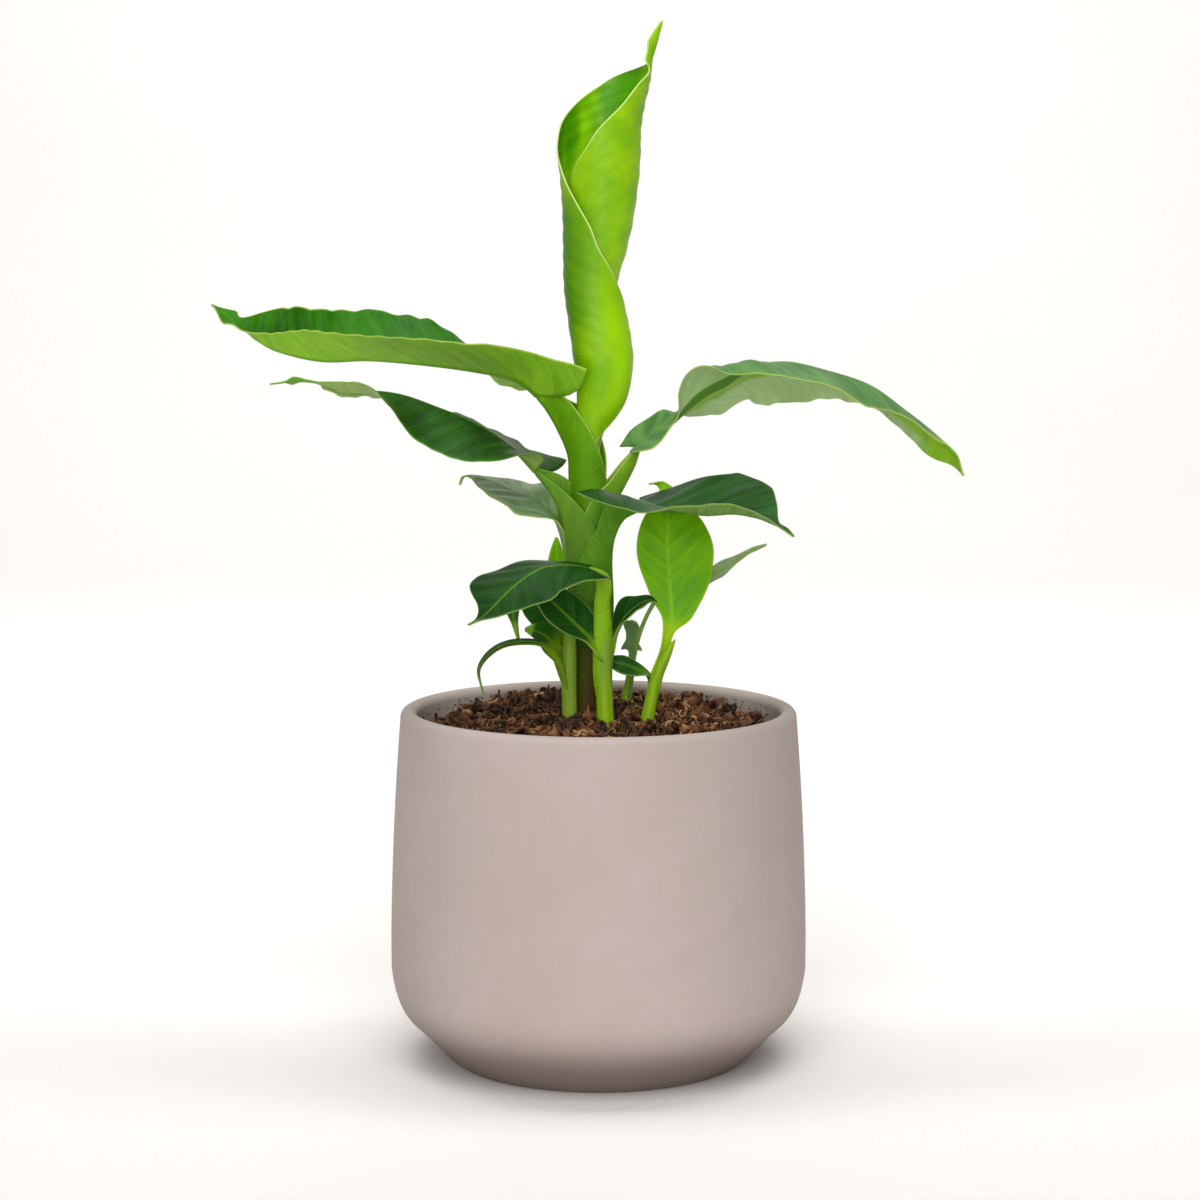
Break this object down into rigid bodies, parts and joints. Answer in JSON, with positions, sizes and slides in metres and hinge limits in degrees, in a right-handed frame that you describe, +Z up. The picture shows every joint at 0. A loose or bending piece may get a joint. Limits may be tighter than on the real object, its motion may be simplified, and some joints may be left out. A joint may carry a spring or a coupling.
{
  "type": "potted banana plant",
  "caption": "Young tropical banana plant with a rolled upright leaf and broad arching leaves, growing with small offshoots in a round footed ceramic pot.",
  "frame": {"origin": "centre of the pot's flat base, on the surface it stands on", "axes": "+Z up along the pot's axis; -Y towards the side of the plant that is seen in the picture; +X to the right as seen from there"},
  "size_m": [0.2747, 0.15, 0.3717],
  "materials": {
    "pot_ceramic": "matte",
    "soil": "rough",
    "stem_green": "satin",
    "leaf_dark": "satin",
    "leaf_young": "satin",
    "leaf_pale": "satin"
  },
  "bodies": {
    "root": {"stem_main": "stem_green", "stem_front": "stem_green", "stem_left": "stem_green", "stem_back": "stem_green", "stem_right": "stem_green", "leaf_upper_left": "leaf_dark", "leaf_middle_left": "leaf_dark", "leaf_lower_left": "leaf_dark", "leaf_upper_right": "leaf_dark", "leaf_middle_right": "leaf_dark", "leaf_front_left": "leaf_dark", "leaf_front_low": "leaf_dark", "leaf_front_right": "leaf_dark", "leaf_left_arching": "leaf_dark", "leaf_left_low": "leaf_dark", "leaf_left_middle": "leaf_dark", "leaf_left_upright": "leaf_young", "leaf_right_oval": "leaf_young", "leaf_right_folded": "leaf_dark", "leaf_back_pale": "leaf_pale", "leaf_back_torn": "leaf_pale", "leaf_centre": "leaf_young", "soil": "soil", "pot": "pot_ceramic"}
  },
  "joints": []
}
